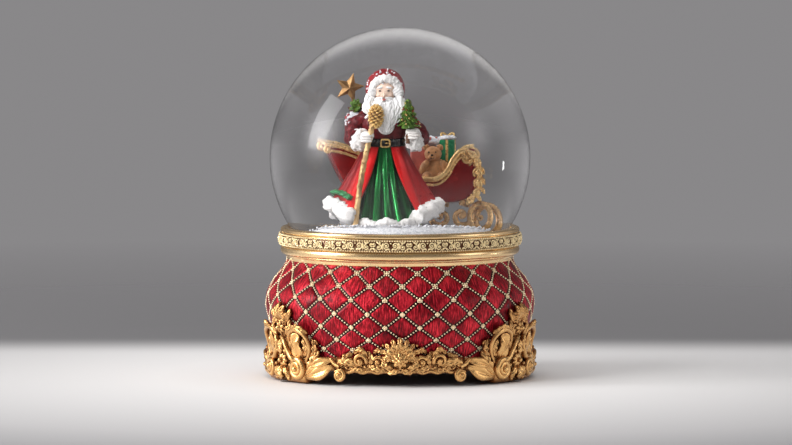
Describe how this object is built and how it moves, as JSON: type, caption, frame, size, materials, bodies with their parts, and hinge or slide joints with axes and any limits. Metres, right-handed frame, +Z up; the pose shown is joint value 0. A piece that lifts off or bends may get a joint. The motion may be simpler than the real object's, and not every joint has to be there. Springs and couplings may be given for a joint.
{
  "type": "musical snow globe",
  "caption": "Water-filled glass snow globe with a Father Christmas, sleigh and toys on a round scroll-footed base holding a wind-up music movement.",
  "frame": {"origin": "on the table, under the centre of the globe", "axes": "+Z up, -Y towards the front of the figure, +X to the viewer's right"},
  "size_m": [0.1552, 0.162, 0.201],
  "materials": {
    "silk_red_resin": "glossy red enamel over cast resin",
    "antique_gold": "antiqued gold paint over cast resin",
    "filigree_gold": "pale gold paint over cast resin",
    "filler": "matt casting filler",
    "felt": "felt",
    "base_board": "matt black board",
    "steel": "plated",
    "spring_steel": "plain spring steel",
    "zinc": "cast and plated",
    "brass": "satin",
    "black_plastic": "moulded",
    "clear_glass": "clear polished",
    "white_rubber": "matt",
    "water": "clear liquid",
    "snow": "white flocked resin with glitter",
    "green_satin": "pearl green paint",
    "coat_red": "satin red paint",
    "coat_dark_red": "dark red paint",
    "fur_white": "white paint, rough",
    "belt_black": "glossy black paint",
    "bright_gold": "gold paint",
    "mitten_white": "white paint",
    "skin": "painted skin",
    "beard_white": "white paint, carved curls",
    "hood_red": "dark red paint with white dots",
    "staff_gold": "gold paint",
    "sack_red": "paint",
    "star_gold": "old gold paint",
    "bark": "brown paint",
    "fir_green": "green paint with snow",
    "sleigh_red": "glossy red paint",
    "sleigh_gold": "old gold paint",
    "cushion": "paint",
    "parcel_paper": "paint",
    "bear_brown": "brown paint",
    "gift_green": "green paint",
    "ribbon_gold": "gold paint"
  },
  "bodies": {
    "globe_and_base": {"base_body": "silk_red_resin", "bedding_ring": "filler", "bottom_plate": "base_board", "comb": "spring_steel", "comb_screws": "steel", "felt_pads": "felt", "filigree_band": "filigree_gold", "fir_tree": "fir_green", "fir_trunk": "bark", "foot_back": "antique_gold", "foot_front_left": "antique_gold", "foot_front_right": "antique_gold", "garland_back_left": "antique_gold", "garland_back_right": "antique_gold", "garland_front": "antique_gold", "gift_box": "gift_green", "gift_ribbon": "ribbon_gold", "glass_dome": "clear_glass", "liquid_fill": "water", "mainspring": "spring_steel", "movement_frame": "zinc", "movement_screws": "steel", "parcel": "parcel_paper", "pine_cone": "bright_gold", "plate_screws": "steel", "rubber_stopper": "white_rubber", "sack_star": "star_gold", "santa_beard": "beard_white", "santa_belt": "belt_black", "santa_buckle": "bright_gold", "santa_coat": "coat_red", "santa_cuffs": "fur_white", "santa_fur_hem": "fur_white", "santa_gown": "green_satin", "santa_head": "skin", "santa_hood": "hood_red", "santa_mittens": "mitten_white", "santa_sleeves": "coat_dark_red", "santa_torso": "coat_dark_red", "sleigh_body": "sleigh_red", "sleigh_cushion": "cushion", "sleigh_rails": "sleigh_gold", "sleigh_runners": "sleigh_gold", "sleigh_scroll": "sleigh_gold", "snow_mound": "snow", "spring_housing": "zinc", "staff": "staff_gold", "teddy_bear": "bear_brown", "toy_sack": "sack_red", "trim_ring": "antique_gold"},
    "key": {"winding_key": "steel", "winding_arbor": "steel"},
    "great_wheel": {"crown_wheel": "brass"},
    "cylinder": {"music_cylinder": "brass", "cylinder_shaft": "steel", "cylinder_pinion": "brass", "cylinder_gear": "brass"},
    "governor": {"governor_pinion": "brass", "governor_fan": "black_plastic"}
  },
  "joints": [
    {"name": "key_wind", "type": "hinge", "parent": "globe_and_base", "child": "key", "pos_m": [-0.012, 0, 0.012], "axis": [0, 0, 1], "continuous": true},
    {"name": "great_wheel_turn", "type": "hinge", "parent": "globe_and_base", "child": "great_wheel", "pos_m": [-0.012, 0, 0.038], "axis": [0, 0, 1], "continuous": true},
    {"name": "cylinder_turn", "type": "hinge", "parent": "globe_and_base", "child": "cylinder", "pos_m": [0, 0, 0.0446], "axis": [1, 0, 0], "continuous": true},
    {"name": "governor_turn", "type": "hinge", "parent": "globe_and_base", "child": "governor", "pos_m": [0, -0.0103, 0.0446], "axis": [1, 0, 0], "continuous": true}
  ],
  "couplings": [
    {"joint": "cylinder_turn", "follows": "great_wheel_turn", "ratio": 3},
    {"joint": "governor_turn", "follows": "great_wheel_turn", "ratio": -12}
  ]
}
